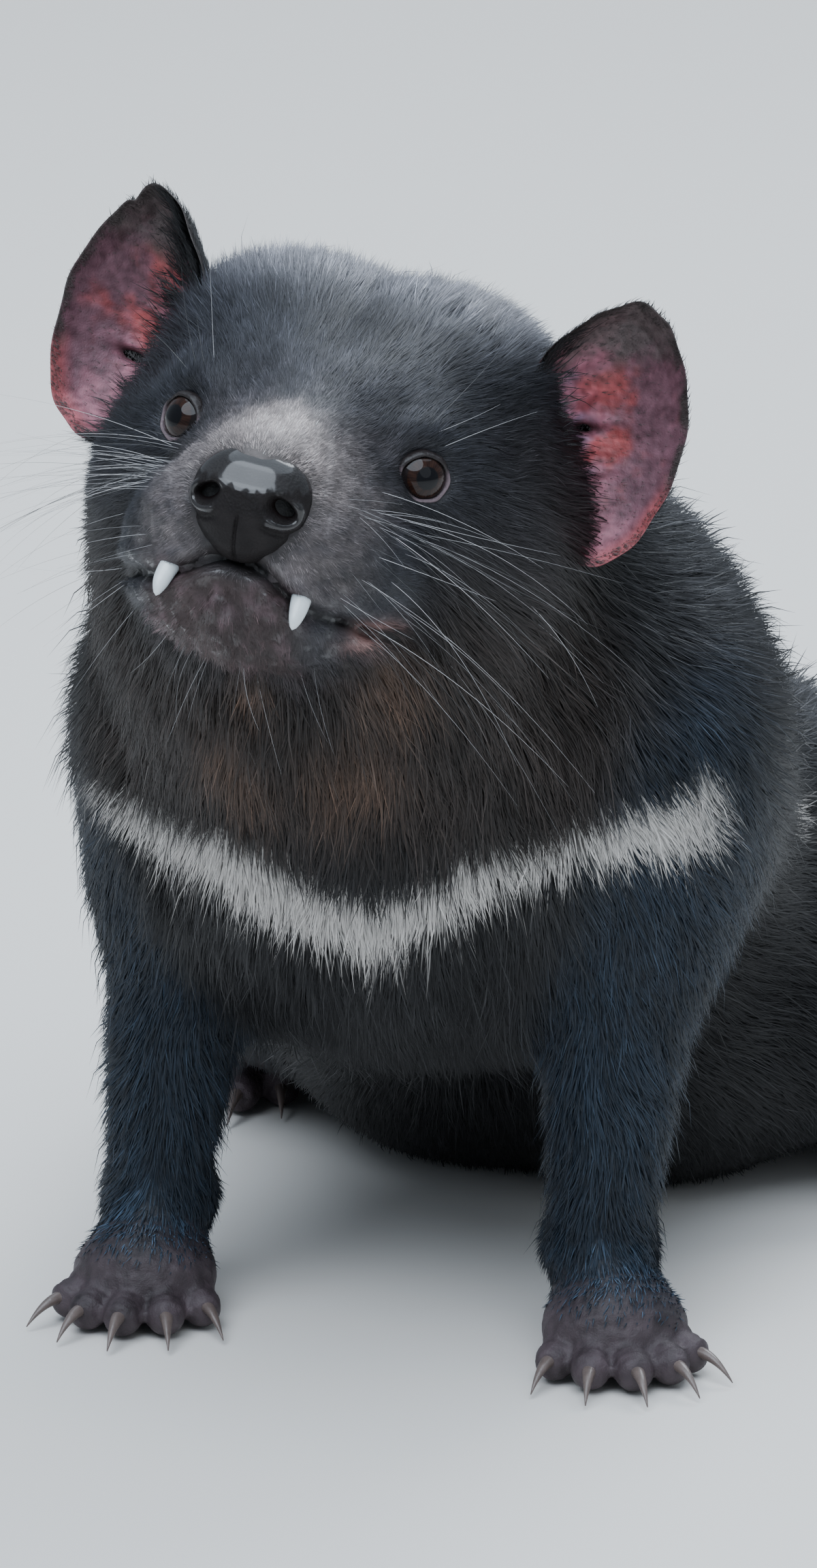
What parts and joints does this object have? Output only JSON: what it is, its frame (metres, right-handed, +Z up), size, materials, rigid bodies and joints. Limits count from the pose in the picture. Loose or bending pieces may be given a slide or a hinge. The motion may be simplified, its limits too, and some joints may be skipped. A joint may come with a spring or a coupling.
{
  "type": "tasmanian devil",
  "caption": "Tasmanian devil at life size, sitting with its head raised: large head, cupped ears, canines, clawed feet and a thick tail, resting on a level floor.",
  "frame": {"origin": "on the floor under the middle of the bounding box", "axes": "+X to the animal's left, +Y from its head to its tail, +Z up"},
  "size_m": [0.2708, 0.658, 0.3278],
  "materials": {
    "body_fur": "short coarse black fur",
    "leg_fur": "short black fur with a cool sheen",
    "throat_fur": "longer brown-black fur",
    "face_fur": "short grey-black fur",
    "muzzle_skin": "thinly haired skin",
    "nose_skin": "wet gloss",
    "eye": "clear gloss",
    "ear_skin": "thin bare skin",
    "foot_skin": "bare skin with horn claws"
  },
  "bodies": {
    "root": {"head": "face_fur", "lower_jaw": "muzzle_skin", "nose": "nose_skin", "neck": "throat_fur", "torso": "body_fur", "tail_base": "body_fur", "tail_tip": "body_fur", "eye_left": "eye", "ear_left": "ear_skin", "upper_foreleg_left": "leg_fur", "forearm_left": "leg_fur", "forefoot_left": "foot_skin", "thigh_left": "leg_fur", "shank_left": "leg_fur", "hindfoot_left": "foot_skin", "eye_right": "eye", "ear_right": "ear_skin", "upper_foreleg_right": "leg_fur", "forearm_right": "leg_fur", "forefoot_right": "foot_skin", "thigh_right": "leg_fur", "shank_right": "leg_fur", "hindfoot_right": "foot_skin"}
  },
  "joints": []
}
